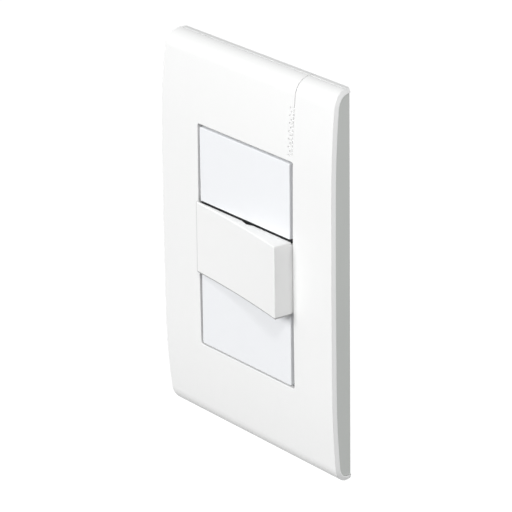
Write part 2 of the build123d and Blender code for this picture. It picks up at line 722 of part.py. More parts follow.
def friction_springs():
    """Two bowed leaf springs that drag on the back of the face panel."""
    springs = []
    base = -CARRIAGE_FRONT
    crest = base - SPRING_RISE
    for side in (-1, 1):
        z = KNOB_CENTRE + side * SPRING_Z
        foot = SPRING_HALF_X - SPRING_FOOT
        lower = [
            Line((-SPRING_HALF_X, base), (-foot, base)),
            ThreePointArc((-foot, base), (0, crest), (foot, base)),
            Line((foot, base), (SPRING_HALF_X, base)),
        ]
        upper = [
            Line((SPRING_HALF_X, base), (SPRING_HALF_X, base - SPRING_THICK)),
            Line((SPRING_HALF_X, base - SPRING_THICK), (foot, base - SPRING_THICK)),
            ThreePointArc(
                (foot, base - SPRING_THICK), (0, crest - SPRING_THICK), (-foot, base - SPRING_THICK)
            ),
            Line((-foot, base - SPRING_THICK), (-SPRING_HALF_X, base - SPRING_THICK)),
            Line((-SPRING_HALF_X, base - SPRING_THICK), (-SPRING_HALF_X, base)),
        ]
        leaf = extrude(make_face(lower + upper), amount=2 * SPRING_HALF_Z)
        springs.append(Pos(0, 0, z - SPRING_HALF_Z) * leaf)
    return Compound(children=springs)


def front_housing():
    """Front plate of the dimmer: guide rails, lever slot, panel posts, lugs and screw bosses."""
    plate = block(
        -HOUSING_PLATE_X, HOUSING_PLATE_X, -HOUSING_PLATE_FRONT, -HOUSING_PLATE_BACK,
        -HOUSING_PLATE_Z, HOUSING_PLATE_Z,
    )
    plate = fillet(plate.edges().filter_by(Axis.Y), HOUSING_PLATE_CORNER)
    cavity_x = SHELL_HALF_X - SHELL_WALL - BOSS_CLEAR
    cavity_z = SHELL_HALF_Z - SHELL_WALL - BOSS_CLEAR
    cavity = block(-cavity_x, cavity_x, -HOUSING_PLATE_BACK, BOSS_SPLIT, -cavity_z, cavity_z)
    plate -= block(
        -LEVER_SLOT_HALF_X, LEVER_SLOT_HALF_X, -HOUSING_PLATE_FRONT - CUT, CUT - HOUSING_PLATE_BACK,
        -LEVER_SLOT_HALF_Z, LEVER_SLOT_HALF_Z,
    )
    for side in (-1, 1):
        plate += block(
            side * (RAIL_X - RAIL_WIDTH / 2), side * (RAIL_X + RAIL_WIDTH / 2),
            -RAIL_TOP, -HOUSING_PLATE_FRONT, -RAIL_HALF_LENGTH, RAIL_HALF_LENGTH,
        )
        lug_in = side * LUG_INNER_Z
        lug_out = side * LUG_OUTER_Z
        lug_front = -YOKE_THICK - LUG_THICK
        plate += block(-LUG_HALF_X, LUG_HALF_X, lug_front, -YOKE_THICK, lug_in, lug_out)
        plate += block(
            -LUG_HALF_X, LUG_HALF_X, -YOKE_THICK, -HOUSING_PLATE_FRONT, lug_in, side * HOUSING_PLATE_Z
        )
        for x_side in (-1, 1):
            pin_x = x_side * PANEL_PIN_X
            pin_z = side * PANEL_PIN_Z
            plate += rod_y(POST_RADIUS, pin_x, pin_z, -PANEL_BACK, -HOUSING_PLATE_FRONT)
            plate -= rod_y(
                PANEL_PIN_RADIUS + FIT_GAP, pin_x, pin_z,
                -PANEL_BACK - CUT, PANEL_PIN_LENGTH + PANEL_PIN_END_CLEAR - PANEL_BACK,
            )
            boss_x = x_side * BOSS_X
            boss_z = side * BOSS_Z
            plate += rod_y(BOSS_RADIUS, boss_x, boss_z, -HOUSING_PLATE_BACK, BOSS_SPLIT) & cavity
            plate -= rod_y(HOUSING_SCREW_RADIUS + PASS_CLEAR, boss_x, boss_z, 0, BOSS_SPLIT + CUT)
            plate -= rod_y(
                COUNTERBORE_RADIUS, boss_x, boss_z, -HOUSING_PLATE_FRONT - CUT, HOUSING_SCREW_SEAT
            )
    return plate


def rear_housing():
    """Rear shell of the dimmer, stepped to be shallow on the right, with vents and snap ramps."""
    front = -HOUSING_PLATE_BACK
    inner_x = SHELL_HALF_X - SHELL_WALL
    inner_z = SHELL_HALF_Z - SHELL_WALL
    shell = block(-SHELL_HALF_X, SHELL_HALF_X, front, SHELL_STEP_DEPTH, -SHELL_HALF_Z, SHELL_HALF_Z)
    shell = fillet(shell.edges().filter_by(Axis.Y), SHELL_CORNER)
    shell = fillet(shell.faces().sort_by(Axis.Y)[-1].edges(), SHELL_BACK_ROUND)
    deep = block(-SHELL_HALF_X, SHELL_STEP_X, front, SHELL_DEPTH, -SHELL_HALF_Z, SHELL_HALF_Z)
    deep = fillet(deep.edges().filter_by(Axis.Y), SHELL_CORNER)
    deep = fillet(deep.faces().sort_by(Axis.Y)[-1].edges(), SHELL_BACK_ROUND)
    shell += deep
    shell -= block(-inner_x, inner_x, front - CUT, SHELL_STEP_DEPTH - SHELL_WALL, -inner_z, inner_z)
    shell -= block(
        -inner_x, SHELL_STEP_X - SHELL_WALL, front - CUT, SHELL_DEPTH - SHELL_WALL, -inner_z, inner_z
    )
    for x_side in (-1, 1):
        for z_side in (-1, 1):
            x = x_side * BOSS_X
            z = z_side * BOSS_Z
            shell += rod_y(BOSS_RADIUS, x, z, BOSS_SPLIT, BOSS_BACK)
        shell += block(
            x_side * (inner_x - LEDGE_WIDTH), x_side * (inner_x + LEDGE_ROOT),
            BOARD_FRONT - LEDGE_THICK, BOARD_FRONT, -LEDGE_HALF_Z, LEDGE_HALF_Z,
        )
    for x_side in (-1, 1):
        for z_side in (-1, 1):
            x = x_side * BOSS_X
            z = z_side * BOSS_Z
            pilot_back = HOUSING_SCREW_TIP + BOSS_CLEAR
            shell -= rod_y(HOUSING_SCREW_RADIUS + PILOT_CLEAR, x, z, BOSS_SPLIT - CUT, pilot_back)
            ramp = Polyline(
                (x_side * SHELL_HALF_X, front), (x_side * (SHELL_HALF_X + SNAP_RISE), front),
                (x_side * SHELL_HALF_X, front + SNAP_LENGTH), close=True,
            )
            snap_z = z_side * SNAP_Z - SNAP_WIDTH / 2
            wedge = Pos(0, 0, snap_z) * extrude(make_face(ramp), amount=SNAP_WIDTH)
            shell += wedge
    for index in range(VENT_COUNT):
        x = VENT_X + (index - (VENT_COUNT - 1) / 2) * VENT_PITCH
        slot = Pos(x, SHELL_DEPTH, VENT_Z) * Rot(90, 0, 0) * extrude(
            Rot(0, 0, 90) * SlotOverall(VENT_LENGTH, VENT_WIDTH), amount=2 * SHELL_WALL, both=True
        )
        shell -= slot
    for index in range(SIDE_VENT_COUNT):
        z = SIDE_VENT_Z + (index - (SIDE_VENT_COUNT - 1) / 2) * SIDE_VENT_PITCH
        opening = SlotOverall(SIDE_VENT_LENGTH, VENT_WIDTH)
        for x in (-SHELL_HALF_X, SHELL_STEP_X):
            shell -= Pos(x, SIDE_VENT_Y, z) * extrude(
                Plane.YZ * opening, amount=2 * SHELL_WALL, both=True
            )
    window_x = TERMINAL_HALF_X + TERMINAL_WINDOW_CLEAR
    shell -= block(
        TERMINAL_X - window_x, TERMINAL_X + window_x, SHELL_DEPTH - 2 * SHELL_WALL, SHELL_DEPTH + CUT,
        TERMINAL_BOTTOM - TERMINAL_WINDOW_CLEAR, TERMINAL_TOP + TERMINAL_WINDOW_CLEAR,
    )
    for x in terminal_stations():
        shell -= rod_z(SCREW_ACCESS_RADIUS, x, CLAMP_SCREW_Y, -SHELL_HALF_Z - CUT, TERMINAL_BOTTOM)
    return shell - rod_y(
        TRIMMER_HOLE_RADIUS, TRIMMER_X, TRIMMER_Z, SHELL_DEPTH - 2 * SHELL_WALL, SHELL_DEPTH + CUT
    )


def housing_screws():
    """Four self-tapping screws that hold the two halves of the housing together."""
    screws = []
    for x_side in (-1, 1):
        for z_side in (-1, 1):
            x = x_side * BOSS_X
            z = z_side * BOSS_Z
            head_front = HOUSING_SCREW_SEAT - HOUSING_SCREW_HEAD_HEIGHT
            head = rod_y(HOUSING_SCREW_HEAD_RADIUS, x, z, head_front, HOUSING_SCREW_SEAT)
            head = fillet(head.edges().group_by(Axis.Y)[0], HOUSING_SCREW_HEAD_ROUND)
            recess_back = head_front + HOUSING_RECESS_DEPTH
            for half_x, half_z in (
                (HOUSING_RECESS_HALF_LENGTH, HOUSING_RECESS_HALF_WIDTH),
                (HOUSING_RECESS_HALF_WIDTH, HOUSING_RECESS_HALF_LENGTH),
            ):
                head -= block(
                    x - half_x, x + half_x, head_front - CUT, recess_back, z - half_z, z + half_z
                )
            shank = rod_y(HOUSING_SCREW_RADIUS, x, z, HOUSING_SCREW_SEAT, HOUSING_SCREW_TIP)
            shank = chamfer(shank.edges().group_by(Axis.Y)[-1], HOUSING_SCREW_TIP_CHAMFER)
            screws.append(head + shank)
    return Compound(children=screws)


def circuit_board():
    """Board between the potentiometer in front and the power parts behind."""
    board = block(-BOARD_HALF_X, BOARD_HALF_X, BOARD_FRONT, BOARD_BACK, -BOARD_HALF_Z, BOARD_HALF_Z)
    for x_side in (-1, 1):
        for z_side in (-1, 1):
            board -= block(
                x_side * (BOARD_HALF_X - BOARD_NOTCH), x_side * (BOARD_HALF_X + CUT),
                BOARD_FRONT - CUT, BOARD_BACK + CUT,
                z_side * (BOARD_HALF_Z - BOARD_NOTCH), z_side * (BOARD_HALF_Z + CUT),
            )
    return board


def pot_body():
    """Folded steel can of the slide potentiometer, slotted for its lever."""
    can = block(-POT_HALF_X, POT_HALF_X, POT_FRONT, BOARD_FRONT, -POT_HALF_Z, POT_HALF_Z)
    can = fillet(can.faces().sort_by(Axis.Y)[0].edges(), POT_FOLD_ROUND)
    can -= block(
        POT_SHEET - POT_HALF_X, POT_HALF_X - POT_SHEET, POT_FRONT + POT_SHEET, BOARD_FRONT + CUT,
        POT_SHEET - POT_HALF_Z, POT_HALF_Z - POT_SHEET,
    )
    return can - block(
        -POT_SLOT_HALF_X, POT_SLOT_HALF_X, POT_FRONT - CUT, POT_FRONT + CUT,
        -LEVER_SLOT_HALF_Z, LEVER_SLOT_HALF_Z,
    )


def pot_track():
    """Insulating strip with two carbon tracks."""
    half_x = POT_HALF_X - POT_SHEET - TRACK_GAP
    half_z = POT_HALF_Z - POT_SHEET - TRACK_GAP
    strip = block(-half_x, half_x, TRACK_FRONT, BOARD_FRONT, -half_z, half_z)
    for side in (-1, 1):
        strip += block(
            side * (CARBON_X - CARBON_WIDTH / 2), side * (CARBON_X + CARBON_WIDTH / 2),
            TRACK_FRONT - CARBON_HEIGHT, TRACK_FRONT, -CARBON_HALF_Z, CARBON_HALF_Z,
        )
    return strip


def pot_slider():
    """Moulded slider inside the can."""
    body = block(
        -SLIDER_HALF_X, SLIDER_HALF_X, SLIDER_FRONT, SLIDER_BACK,
        KNOB_CENTRE - SLIDER_HALF_Z, KNOB_CENTRE + SLIDER_HALF_Z,
    )
    body = fillet(body.edges().filter_by(Axis.Z), SLIDER_ROUND)
    return body - block(
        -LEVER_HALF_X, LEVER_HALF_X, SLIDER_FRONT - CUT, SLIDER_FRONT + LEVER_SEAT,
        KNOB_CENTRE - LEVER_HALF_Z, KNOB_CENTRE + LEVER_HALF_Z,
    )


def pot_lever():
    """Flat steel lever from the slider to the carriage."""
    lever = block(
        -LEVER_HALF_X, LEVER_HALF_X, -LEVER_TIP, SLIDER_FRONT + LEVER_SEAT,
        KNOB_CENTRE - LEVER_HALF_Z, KNOB_CENTRE + LEVER_HALF_Z,
    )
    return chamfer(lever.faces().sort_by(Axis.Y)[0].edges().filter_by(Axis.X), LEVER_CHAMFER)


def wiper_brushes():
    """Two bent spring contacts that reach from the slider towards the carbon tracks."""
    tip = TRACK_FRONT - CARBON_HEIGHT - BRUSH_CLEAR
    brushes = []
    for side in (-1, 1):
        x0 = side * (CARBON_X - BRUSH_WIDTH / 2)
        x1 = side * (CARBON_X + BRUSH_WIDTH / 2)
        low = KNOB_CENTRE - BRUSH_HANG
        bend = low + BRUSH_REACH
        brush = block(x0, x1, SLIDER_BACK, SLIDER_BACK + BRUSH_THICK, low, bend)
        brush += block(x0, x1, SLIDER_BACK, tip, bend - BRUSH_THICK, bend)
        brush += block(x0, x1, tip - BRUSH_THICK, tip, bend - BRUSH_THICK, bend + BRUSH_REACH)
        brushes.append(brush)
    return Compound(children=brushes)


def terminal_stations():
    """Positions of the terminals across the block."""
    middle = (TERMINAL_COUNT - 1) / 2
    return [TERMINAL_X + (index - middle) * TERMINAL_PITCH for index in range(TERMINAL_COUNT)]


def terminal_block():
    """Insulating block with a pocket for each clamp and a wire entry behind it."""
    body = block(
        TERMINAL_X - TERMINAL_HALF_X, TERMINAL_X + TERMINAL_HALF_X, TERMINAL_FRONT, SHELL_DEPTH,
        TERMINAL_BOTTOM, TERMINAL_TOP,
    )
    body = fillet(body.edges().filter_by(Axis.Y), TERMINAL_CORNER)
    for x in terminal_stations():
        reach = CLAMP_HALF_X + FIT_GAP
        body -= block(
            x - reach, x + reach, TERMINAL_FRONT - CUT, CLAMP_BACK + FIT_GAP,
            CLAMP_BOTTOM - FIT_GAP, CLAMP_TOP + FIT_GAP,
        )
        body -= rod_y(WIRE_RADIUS, x, WIRE_Z, CLAMP_BACK, SHELL_DEPTH + CUT)
        body -= rod_z(SCREW_ACCESS_RADIUS, x, CLAMP_SCREW_Y, TERMINAL_BOTTOM - CUT, CLAMP_BOTTOM)
    for x in (TERMINAL_X - TERMINAL_PITCH / 2, TERMINAL_X + TERMINAL_PITCH / 2):
        body -= block(
            x - DIVIDER_HALF_WIDTH, x + DIVIDER_HALF_WIDTH, SHELL_DEPTH - DIVIDER_DEPTH, SHELL_DEPTH + CUT,
            TERMINAL_BOTTOM - CUT, TERMINAL_TOP + CUT,
        )
    return body


def terminal_clamps():
    """Three brass clamps, each with a wire bore and a threaded screw hole."""
    clamps = []
    for x in terminal_stations():
        left = x - CLAMP_HALF_X
        right = x + CLAMP_HALF_X
        clamp = block(left, right, CLAMP_FRONT, CLAMP_BACK, CLAMP_BOTTOM, CLAMP_TOP)
        clamp = fillet(clamp.edges().filter_by(Axis.Y), CLAMP_CORNER)
        clamp -= rod_y(CLAMP_BORE, x, WIRE_Z, CLAMP_FRONT - CUT, CLAMP_BACK + CUT)
        thread_radius = CLAMP_SCREW_RADIUS + CLAMP_THREAD_CLEAR
        clamp -= rod_z(thread_radius, x, CLAMP_SCREW_Y, CLAMP_BOTTOM - CUT, WIRE_Z)
        clamps.append(clamp)
    return Compound(children=clamps)


def terminal_screws():
    """Three clamp screws, driven from below the housing."""
    screws = []
    for x in terminal_stations():
        seat = CLAMP_BOTTOM - CLAMP_SCREW_SEAT
        head_bottom = seat - CLAMP_SCREW_HEAD_HEIGHT
        head = rod_z(CLAMP_SCREW_HEAD_RADIUS, x, CLAMP_SCREW_Y, head_bottom, seat)
        head = chamfer(head.edges().group_by(Axis.Z)[0], CLAMP_SCREW_HEAD_CHAMFER)
        head -= block(
            x - CLAMP_HALF_X, x + CLAMP_HALF_X,
            CLAMP_SCREW_Y - CLAMP_SCREW_SLOT_HALF, CLAMP_SCREW_Y + CLAMP_SCREW_SLOT_HALF,
            head_bottom - CUT, head_bottom + CLAMP_SCREW_SLOT_DEPTH,
        )
        shank_top = WIRE_Z - CLAMP_BORE + CLAMP_SCREW_SEAT
        shank = rod_z(CLAMP_SCREW_RADIUS, x, CLAMP_SCREW_Y, seat, shank_top)
        screws.append(head + shank)
    return Compound(children=screws)


def heat_sink():
    """Bent aluminium plate along the left wall that cools the triac."""
    plate = block(SINK_LEFT, SINK_LEFT + SINK_THICK, SINK_FRONT, SINK_BACK, SINK_BOTTOM, SINK_TOP)
    flange = block(
        SINK_LEFT, SINK_LEFT + SINK_FLANGE, SINK_FRONT, SINK_BACK, SINK_TOP, SINK_TOP + SINK_THICK
    )
    sink = plate + flange
    tab_middle = TRIAC_BODY_BOTTOM + TRIAC_BODY_LENGTH + TRIAC_TAB_LENGTH / 2
    return sink - rod_x(
        TRIAC_SCREW_RADIUS + PILOT_CLEAR, TRIAC_CENTRE_Y, tab_middle,
        SINK_LEFT - CUT, SINK_LEFT + SINK_THICK + CUT,
    )


def triac():
    """Power triac: moulded body, cooling tab and three bent leads."""
    base = SINK_LEFT + SINK_THICK
    y0 = TRIAC_CENTRE_Y - TRIAC_WIDTH / 2
    y1 = TRIAC_CENTRE_Y + TRIAC_WIDTH / 2
    body_top = TRIAC_BODY_BOTTOM + TRIAC_BODY_LENGTH
    device = block(base, base + TRIAC_BODY_HEIGHT, y0, y1, TRIAC_BODY_BOTTOM, body_top)
    device += block(base, base + TRIAC_TAB_THICK, y0, y1, body_top - CUT, body_top + TRIAC_TAB_LENGTH)
    device -= rod_x(
        TRIAC_SCREW_RADIUS + TRIAC_TAB_CLEAR, TRIAC_CENTRE_Y, body_top + TRIAC_TAB_LENGTH / 2,
        base - CUT, base + TRIAC_TAB_THICK + CUT,
    )
    lead_x = base + TRIAC_BODY_HEIGHT / 2
    for index in (-1, 0, 1):
        y = TRIAC_CENTRE_Y + index * TRIAC_LEAD_PITCH
        foot_z = TRIAC_BODY_BOTTOM - TRIAC_LEAD_DROP - TRIAC_LEAD_STAGGER * (index + 1)
        half = TRIAC_LEAD / 2
        lead_top = TRIAC_BODY_BOTTOM + LEAD_ROOT
        device += block(lead_x - half, lead_x + half, y - half, y + half, foot_z, lead_top)
        device += block(lead_x - half, lead_x + half, BOARD_BACK, y + half, foot_z, foot_z + TRIAC_LEAD)
    return device


def triac_screw():
    """Screw that clamps the triac's tab to the heat sink."""
    z = TRIAC_BODY_BOTTOM + TRIAC_BODY_LENGTH + TRIAC_TAB_LENGTH / 2
    seat = SINK_LEFT + SINK_THICK + TRIAC_TAB_THICK
    head = rod_x(TRIAC_SCREW_HEAD_RADIUS, TRIAC_CENTRE_Y, z, seat, seat + TRIAC_SCREW_HEAD_HEIGHT)
    head = fillet(head.edges().group_by(Axis.X)[-1], TRIAC_SCREW_HEAD_ROUND)
    return head + rod_x(TRIAC_SCREW_RADIUS, TRIAC_CENTRE_Y, z, SINK_LEFT, seat)


def choke_core():
    """Powdered-iron ring of the interference choke."""
    half = CORE_HEIGHT / 2
    core = rod_y(CORE_OUTER, CHOKE_X, CHOKE_Z, CHOKE_Y - half, CHOKE_Y + half)
    core -= rod_y(CORE_INNER, CHOKE_X, CHOKE_Z, CHOKE_Y - half - CUT, CHOKE_Y + half + CUT)
    return fillet(core.edges(), CORE_ROUND)


def choke_winding():
    """Enamelled wire round the core: a row of separate closed turns."""
    inner = CORE_INNER - FIT_GAP - WIRE_TURN_RADIUS
    outer = CORE_OUTER + FIT_GAP + WIRE_TURN_RADIUS
    half = CORE_HEIGHT / 2 + FIT_GAP + WIRE_TURN_RADIUS
    turn_face = Plane.XZ * RectangleRounded(outer - inner, 2 * half, WIRE_TURN_BEND)
    ring = turn_face.wires()[0]
    start = ring @ 0
    tangent = ring % 0
    section = Plane(origin=start, z_dir=tangent) * Circle(WIRE_TURN_RADIUS)
    turn = sweep(section, path=ring)
    radius = (outer + inner) / 2
    turns = []
    for index in range(WINDING_TURNS):
        angle = -WINDING_SPAN / 2 + WINDING_SPAN * index / (WINDING_TURNS - 1)
        turns.append(Rot(0, 0, angle) * Pos(radius, 0, 0) * turn)
    placed = Pos(CHOKE_X, CHOKE_Y, CHOKE_Z) * Rot(90, 0, 0)
    return Compound(children=[placed * item for item in turns])


def boxed_capacitor(x_range, y_range, z_range, rounding, along_x):
    """Boxed film capacitor with two leads to the board."""
    body = block(*x_range, *y_range, *z_range)
    body = fillet(body.edges(), rounding)
    x_mid = sum(x_range) / 2
    z_mid = sum(z_range) / 2
    if along_x:
        feet = [(x_range[0] + CAP_LEAD_INSET, z_mid), (x_range[1] - CAP_LEAD_INSET, z_mid)]
    else:
        feet = [(x_mid, z_range[0] + CAP_LEAD_INSET), (x_mid, z_range[1] - CAP_LEAD_INSET)]
    for x, z in feet:
        body += rod_y(LEAD_RADIUS, x, z, BOARD_BACK, y_range[0] + LEAD_ROOT)
    return body


def axial_part(x, z, radius, length, span):
    """Axial component lying above the board, with bent leads at both ends."""
    body = rod_z(radius, x, AXIAL_Y, z - length / 2, z + length / 2)
    body = fillet(body.edges(), radius * AXIAL_END_ROUND)
    body += rod_z(LEAD_RADIUS, x, AXIAL_Y, z - span / 2, z + span / 2)
    for side in (-1, 1):
        body += rod_y(LEAD_RADIUS, x, z + side * span / 2, BOARD_BACK, AXIAL_Y + LEAD_RADIUS)
    return body


def resistors():
    """Two carbon-film resistors."""
    return Compound(children=[
        axial_part(x, RESISTOR_Z, RESISTOR_RADIUS, RESISTOR_LENGTH, RESISTOR_SPAN) for x in RESISTOR_X
    ])


def diac():
    """Glass-bodied trigger diode."""
    return axial_part(DIAC_X, DIAC_Z, DIAC_RADIUS, DIAC_LENGTH, DIAC_SPAN)


def fuse():
    """Glass cartridge fuse with metal end caps."""
    half = FUSE_LENGTH / 2
    glass_half = half - FUSE_GLASS_SEAT
    body = rod_z(FUSE_GLASS_RADIUS, FUSE_X, FUSE_Y, FUSE_Z - glass_half, FUSE_Z + glass_half)
    for side in (-1, 1):
        end = FUSE_Z + side * half
        body += rod_z(FUSE_CAP_RADIUS, FUSE_X, FUSE_Y, end - side * FUSE_CAP_LENGTH, end)
    return body


def fuse_clips():
    """Two sprung clips that stand on the board and grip the fuse caps."""
    clips = []
    inner = FUSE_CAP_RADIUS + FIT_GAP
    outer = inner + CLIP_SHEET
    for side in (-1, 1):
        z = FUSE_Z + side * CLIP_OFFSET
        clip = rod_z(outer, FUSE_X, FUSE_Y, z - CLIP_WIDTH / 2, z + CLIP_WIDTH / 2)
        clip -= rod_z(inner, FUSE_X, FUSE_Y, z - CLIP_WIDTH, z + CLIP_WIDTH)
        clip -= block(
            FUSE_X - CLIP_MOUTH_HALF, FUSE_X + CLIP_MOUTH_HALF, FUSE_Y, FUSE_Y + 2 * outer,
            z - CLIP_WIDTH, z + CLIP_WIDTH,
        )
        clip += block(
            FUSE_X - CLIP_FOOT_HALF, FUSE_X + CLIP_FOOT_HALF, BOARD_BACK, FUSE_Y - inner - CLIP_SHEET / 2,
            z - CLIP_WIDTH / 2, z + CLIP_WIDTH / 2,
        )
        clips.append(clip)
    return Compound(children=clips)


def trimmer_body():
    """Body of the minimum-level trimmer."""
    body = block(
        TRIMMER_X - TRIMMER_HALF, TRIMMER_X + TRIMMER_HALF, BOARD_BACK, TRIMMER_BACK,
        TRIMMER_Z - TRIMMER_HALF, TRIMMER_Z + TRIMMER_HALF,
    )
    body = fillet(body.edges().filter_by(Axis.Y), TRIMMER_CORNER)
    seat_front = TRIMMER_BACK - TRIMMER_SEAT_DEPTH
    return body - rod_y(TRIMMER_SEAT_RADIUS, TRIMMER_X, TRIMMER_Z, seat_front, TRIMMER_BACK + CUT)


def trimmer_dial():
    """Slotted spindle of the trimmer, reached through the back of the housing."""
    stem_front = TRIMMER_BACK - TRIMMER_STEM_DEPTH
    dial = rod_y(TRIMMER_STEM_RADIUS, TRIMMER_X, TRIMMER_Z, stem_front, TRIMMER_HEAD_FRONT)
    head = rod_y(TRIMMER_HEAD_RADIUS, TRIMMER_X, TRIMMER_Z, TRIMMER_HEAD_FRONT, TRIMMER_HEAD_BACK)
    head = chamfer(head.edges().group_by(Axis.Y)[-1], DIAL_HEAD_CHAMFER)
    dial += head
    slot_front = TRIMMER_HEAD_BACK - DIAL_SLOT_DEPTH
    dial -= block(
        TRIMMER_X - DIAL_SLOT_HALF_LENGTH, TRIMMER_X + DIAL_SLOT_HALF_LENGTH,
        slot_front, TRIMMER_HEAD_BACK + CUT,
        TRIMMER_Z - DIAL_SLOT_WIDTH / 2, TRIMMER_Z + DIAL_SLOT_WIDTH / 2,
    )
    return dial - block(
        TRIMMER_X + DIAL_POINTER_LEFT, TRIMMER_X + DIAL_POINTER_RIGHT,
        slot_front, TRIMMER_HEAD_BACK + CUT,
        TRIMMER_Z - DIAL_POINTER, TRIMMER_Z + DIAL_POINTER,
    )


PARTS = {
    "cover_plate": cover_plate,
    "side_frame": side_frame,
    "support_frame": support_frame,
    "box_screws": box_screws,
    "face_panel": face_panel,
    "slide_knob": slide_knob,
    "carriage": carriage,
    "friction_springs": friction_springs,
    "front_housing": front_housing,
    "rear_housing": rear_housing,
    "housing_screws": housing_screws,
    "circuit_board": circuit_board,
    "pot_body": pot_body,
    "pot_track": pot_track,
    "pot_slider": pot_slider,
    "pot_lever": pot_lever,
    "wiper_brushes": wiper_brushes,
    "terminal_block": terminal_block,
    "terminal_clamps": terminal_clamps,
    "terminal_screws": terminal_screws,
    "heat_sink": heat_sink,
    "triac": triac,
    "triac_screw": triac_screw,
    "choke_core": choke_core,
    "choke_winding": choke_winding,
    "filter_capacitor": lambda: boxed_capacitor(
        FILTER_CAP_X, FILTER_CAP_Y, FILTER_CAP_Z, FILTER_CAP_ROUND, False
    ),
    "timing_capacitor": lambda: boxed_capacitor(
        TIMING_CAP_X, TIMING_CAP_Y, TIMING_CAP_Z, TIMING_CAP_ROUND, True
    ),
    "resistors": resistors,
    "diac": diac,
    "fuse": fuse,
    "fuse_clips": fuse_clips,
    "trimmer_body": trimmer_body,
    "trimmer_dial": trimmer_dial,
}


def main():
    os.makedirs("parts", exist_ok=True)
    for name, make in PARTS.items():
        export_step(make(), f"parts/{name}.step")


main()
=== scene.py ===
import math

import bpy
from mathutils import Matrix, Vector


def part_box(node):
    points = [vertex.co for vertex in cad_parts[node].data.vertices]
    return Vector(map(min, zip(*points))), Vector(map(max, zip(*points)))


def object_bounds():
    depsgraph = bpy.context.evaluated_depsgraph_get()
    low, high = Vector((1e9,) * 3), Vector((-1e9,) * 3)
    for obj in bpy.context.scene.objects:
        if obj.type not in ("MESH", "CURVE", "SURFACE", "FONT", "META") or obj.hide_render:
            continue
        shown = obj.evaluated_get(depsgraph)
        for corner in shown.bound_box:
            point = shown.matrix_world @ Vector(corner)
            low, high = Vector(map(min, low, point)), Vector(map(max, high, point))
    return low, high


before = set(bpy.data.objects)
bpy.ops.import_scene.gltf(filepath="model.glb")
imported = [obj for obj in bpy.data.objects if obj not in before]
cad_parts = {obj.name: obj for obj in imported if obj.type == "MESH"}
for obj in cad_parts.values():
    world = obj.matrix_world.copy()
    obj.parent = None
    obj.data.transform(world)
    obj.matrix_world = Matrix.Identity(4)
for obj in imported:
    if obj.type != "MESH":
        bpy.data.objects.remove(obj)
size_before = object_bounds()

MM = 0.001

# Camera: the direction it looks from in degrees, and its distance, aim, sensor and lens in millimetres.
CAM_AZIMUTH = 53.68
CAM_ELEVATION = 20.13
CAM_ROLL = -0.70
CAM_DISTANCE = 1010.85
CAM_SIDE = 3.33
CAM_RISE = 1.78
CAM_SENSOR = 36.0
CAM_LENS = 249.23

# Studio: ambient light, lamps in watts and metres, and a floor in metres. Its tooth is in millimetres.
AMBIENT = 0.42
AMBIENT_TINT = (0.985, 0.995, 1.0)
KEY_POWER = 12.35
KEY_SIZE = 0.6
KEY_PLACE = (-0.15, -1.28, 0.54)
FILL_POWER = 0.76
FILL_SIZE = 0.08
FILL_PLACE = (0.36, -0.27, 0.42)
RIM_POWER = 1.15
RIM_SIZE = 0.25
RIM_PLACE = (0.45, 0.38, 0.0)
FLOOR_DROP = 0.5
FLOOR_SIZE = 9.0
FLOOR_LIFT = 0.8
FLOOR_TOOTH = 2.0
FLOOR_TOOTH_DETAIL = 3.0
FLOOR_DARK = (0.54, 0.54, 0.54)
FLOOR_PALE = (0.56, 0.56, 0.56)
FLOOR_ROUGHNESS = 0.8
PURE_WHITE = (1.0, 1.0, 1.0)

# Shared textures: sizes and depths in millimetres. LEVELS are the values that a texture is read between.
CLOUD_SIZE = 23.0
FLOW_SIZE = 6.0
FLOW_STRETCH = (1.0, 1.0, 0.35)
RUB_SIZE = 1.7
RUB_LEVELS = (0.35, 0.7)
RUB_GLOSS = 0.15
GRAIN_SIZE = 0.35
GRAIN_DEPTH = 0.012
NOISE_ROUGHNESS = 0.6
FINE_DETAIL = 3.0
MIDDLE_LEVELS = (0.3, 0.7)
ROUGHNESS_SWING = 0.03
BEVEL_SAMPLES = 4
EDGE_LEVELS = (0.995, 0.86)

# Mouldings: edge softening in millimetres, and how far the tones spread.
MOULDED_EDGE = 0.18
MOULDED_WEAR_AND_SHEEN = 0.35
MOULDED_CLOUD = 0.02
FLOW_LEVELS = (0.45, 0.75)
FLOW_STRENGTH = 0.5
FLOW_DARKER = 1.5
# Lighter rubbed edges: partly wear, partly painted highlight.
RUBBED_SHEEN_TONE = 1.18

# Metals: line spacing, depth and edge softening in millimetres, then tones and gloss.
METAL_LINE = 0.12
METAL_DETAIL = 4.0
METAL_LINE_ROUGHNESS = 0.65
METAL_DEPTH = 0.004
METAL_EDGE = 0.12
METAL_BLOTCH = 3.2
METAL_BLOTCH_LEVELS = (0.4, 0.75)
METAL_STAIN = 0.12
METAL_EDGE_STRENGTH = 0.5
METAL_EDGE_TONE = 1.25
METAL_SWING = 0.07

# Banded parts: grain, depth and edge softening in millimetres, and how far each band's tone spreads.
BAND_GRAIN = 0.3
BAND_CLOUD = 2.0
BAND_DEPTH = 0.006
BAND_EDGE = 0.12
BAND_DARK = 0.93
BAND_PALE = 1.05

# Face panel: its two grooves, which get painted shade from just inside their edges.
PANEL_GROOVE_Z = 10.1 * MM
PANEL_GROOVE_HALF = 0.825 * MM
PANEL_GROOVE_SHADE = 0.15 * MM
PANEL_GROOVE_LIP = 0.1
PANEL_GROOVE_FADE = (1.06, 1.02)
PANEL_EDGE = 0.15
# Painted highlight: the panel's edges are made a little lighter.
PANEL_EDGE_HIGHLIGHT_STRENGTH = 0.15
PANEL_EDGE_HIGHLIGHT_TONE = 1.05
PANEL_CLOUD = 0.005
PANEL_FLOW = 5.0
